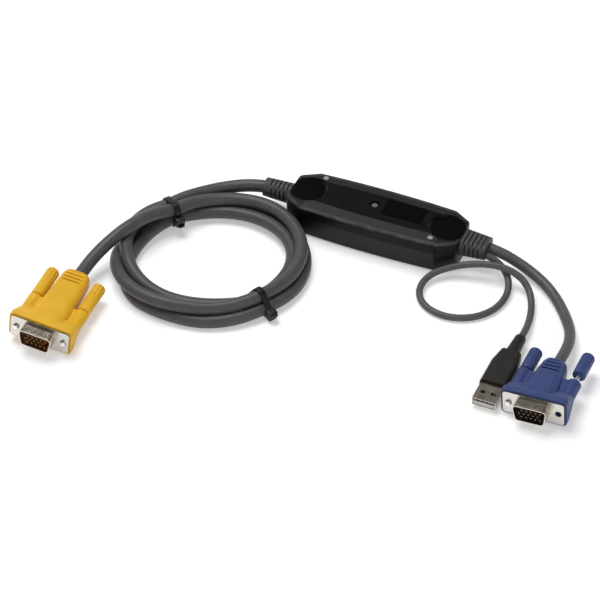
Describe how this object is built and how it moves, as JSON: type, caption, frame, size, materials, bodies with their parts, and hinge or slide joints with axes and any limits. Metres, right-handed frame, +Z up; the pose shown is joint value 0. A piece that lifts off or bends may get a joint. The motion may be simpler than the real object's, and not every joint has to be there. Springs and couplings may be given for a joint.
{
  "type": "kvm cable",
  "caption": "In-line console adapter cable: a slim black module between a coiled cable with a yellow D-shaped plug and two leads with a blue D-shaped plug and a flat USB plug.",
  "frame": {"origin": "on the table under the middle of the in-line module", "axes": "+Z up, +X along the module towards the computer-side leads, +Y away from the plugs' faces"},
  "size_m": [0.2709, 0.1656, 0.0185],
  "materials": {
    "housing": "moulded, fine satin grain",
    "relief": "moulded, matt",
    "cable": "extruded jacket, satin",
    "tie": "moulded nylon",
    "hood_yellow": "moulded, satin",
    "hood_blue": "moulded, satin",
    "knob_yellow": "moulded, satin",
    "knob_blue": "moulded, satin",
    "nickel": "nickel-plated stamping",
    "steel": "turned",
    "insulator": "moulded",
    "gold": "gold flash",
    "usb_black": "moulded, satin",
    "usb_white": "moulded",
    "board": "solder mask",
    "chip": "moulded",
    "can": "drawn can",
    "lens": "clear moulded",
    "header": "moulded",
    "wire": "insulated"
  },
  "bodies": {
    "cable": {"lower_shell": "housing", "upper_shell": "housing", "shell_screws": "steel", "circuit_board": "board", "controller_chip": "chip", "crystal_can": "can", "indicator_light": "header", "indicator_lens": "lens", "main_header": "header", "tail_header": "header", "main_wires": "wire", "tail_wires": "wire", "main_strain_relief": "relief", "tail_strain_relief": "relief", "main_cord_module_run": "cable", "main_cord_coil": "cable", "main_cord_plug_run": "cable", "cable_tie_upper": "tie", "cable_tie_lower": "tie", "video_lead": "cable", "usb_lead": "cable", "usb_overmould": "usb_black", "usb_shell": "nickel", "usb_tongue": "usb_white", "usb_contacts": "gold", "console_shell": "nickel", "console_insulator": "insulator", "console_pins": "gold", "console_hood": "hood_yellow", "video_shell": "nickel", "video_insulator": "insulator", "video_pins": "gold", "video_hood": "hood_blue"},
    "console_left_screw": {"console_left_screw": "steel"},
    "console_left_knob": {"console_left_knob": "knob_yellow"},
    "console_right_screw": {"console_right_screw": "steel"},
    "console_right_knob": {"console_right_knob": "knob_yellow"},
    "video_left_screw": {"video_left_screw": "steel"},
    "video_left_knob": {"video_left_knob": "knob_blue"},
    "video_right_screw": {"video_right_screw": "steel"},
    "video_right_knob": {"video_right_knob": "knob_blue"}
  },
  "joints": [
    {"name": "console_left_screw_slide", "type": "slide", "parent": "cable", "child": "console_left_screw", "axis": [-0.0349, 0.9994, 0], "range_m": [-0.0007, 0.0053]},
    {"name": "console_left_knob_turn", "type": "hinge", "parent": "console_left_screw", "child": "console_left_knob", "pos_m": [-0.13087, -0.12185, 0.0104], "axis": [-0.0349, 0.9994, 0], "continuous": true},
    {"name": "console_right_screw_slide", "type": "slide", "parent": "cable", "child": "console_right_screw", "axis": [-0.0349, 0.9994, 0], "range_m": [-0.0007, 0.0053]},
    {"name": "console_right_knob_turn", "type": "hinge", "parent": "console_right_screw", "child": "console_right_knob", "pos_m": [-0.10606, -0.12098, 0.00757], "axis": [-0.0349, 0.9994, 0], "continuous": true},
    {"name": "video_left_screw_slide", "type": "slide", "parent": "cable", "child": "video_left_screw", "axis": [0, 1, 0], "range_m": [-0.0007, 0.0053]},
    {"name": "video_left_knob_turn", "type": "hinge", "parent": "video_left_screw", "child": "video_left_knob", "pos_m": [0.10674, -0.0728, 0.00751], "axis": [0, 1, 0], "continuous": true},
    {"name": "video_right_screw_slide", "type": "slide", "parent": "cable", "child": "video_right_screw", "axis": [0, 1, 0], "range_m": [-0.0054, 0.0006]},
    {"name": "video_right_knob_turn", "type": "hinge", "parent": "video_right_screw", "child": "video_right_knob", "pos_m": [0.13166, -0.0728, 0.00926], "axis": [0, 1, 0], "continuous": true}
  ]
}
